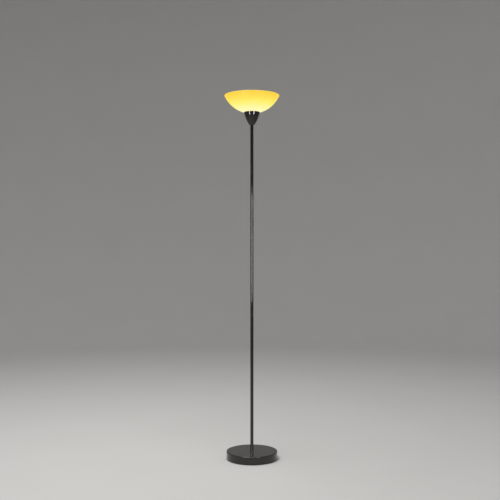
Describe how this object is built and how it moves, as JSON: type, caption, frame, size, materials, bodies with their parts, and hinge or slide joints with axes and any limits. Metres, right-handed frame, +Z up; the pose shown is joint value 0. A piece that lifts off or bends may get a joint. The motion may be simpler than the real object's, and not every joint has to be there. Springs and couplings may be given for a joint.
{
  "type": "torchiere floor lamp",
  "caption": "Floor lamp with a low round base, one straight pole, a small tapering cup and an open bowl shade that throws the light upwards.",
  "frame": {"origin": "on the floor, under the pole, at the centre of the base", "axes": "+Z up along the pole, +Y towards the back, where the mains cord enters, +X to the right seen from the front"},
  "size_m": [0.272, 0.272, 1.8],
  "materials": {
    "black_lacquer": "gloss",
    "zinc_steel": "satin",
    "concrete": "matte",
    "black_rubber": "matte",
    "black_plastic": "satin",
    "black_sheath": "satin",
    "brown_core": "satin",
    "blue_core": "satin",
    "cream_ceramic": "matte",
    "brass": "satin",
    "nickel_brass": "satin",
    "clear_silicone": "satin",
    "opal_glass": "gloss",
    "black_glass": "gloss",
    "white_plastic": "satin",
    "opal_dome": "satin",
    "white_board": "satin",
    "chip_phosphor": "satin",
    "green_board": "satin",
    "capacitor_can": "satin"
  },
  "bodies": {
    "stand": {"base_cover": "black_lacquer", "cup": "black_lacquer", "pole_tube_lower": "black_lacquer", "pole_tube_middle": "black_lacquer", "pole_tube_upper": "black_lacquer", "base_weight": "concrete", "base_plate": "zinc_steel", "base_washer": "zinc_steel", "tooth_washers": "zinc_steel", "hex_nuts": "zinc_steel", "base_nipple": "zinc_steel", "joint_nipples": "zinc_steel", "top_nipple": "zinc_steel", "tube_inserts": "zinc_steel", "rubber_feet": "black_rubber", "cord_grommet": "black_plastic", "mains_lead": "black_sheath", "live_core": "brown_core", "neutral_core": "blue_core", "holder_cap": "black_plastic", "holder_body": "black_plastic", "contact_block": "cream_ceramic", "screw_shell": "brass", "centre_contact": "brass", "terminals": "brass", "terminal_screws": "zinc_steel", "seat_washer": "clear_silicone"},
    "shade": {"shade_bowl": "opal_glass"},
    "ring": {"shade_ring": "black_plastic"},
    "bulb": {"bulb_contact": "brass", "bulb_insulator": "black_glass", "bulb_cap": "nickel_brass", "bulb_body": "white_plastic", "bulb_dome": "opal_dome", "led_board": "white_board", "led_chips": "chip_phosphor", "driver_board": "green_board", "driver_capacitor": "capacitor_can"}
  },
  "joints": [
    {"name": "shade_lift", "type": "slide", "parent": "stand", "child": "shade", "axis": [0, 0, 1], "range_m": [0, 0.08]},
    {"name": "ring_lift", "type": "slide", "parent": "shade", "child": "ring", "axis": [0, 0, 1], "range_m": [0, 0.12]},
    {"name": "bulb_lift", "type": "slide", "parent": "ring", "child": "bulb", "axis": [0, 0, 1], "range_m": [0, 0.14]}
  ]
}
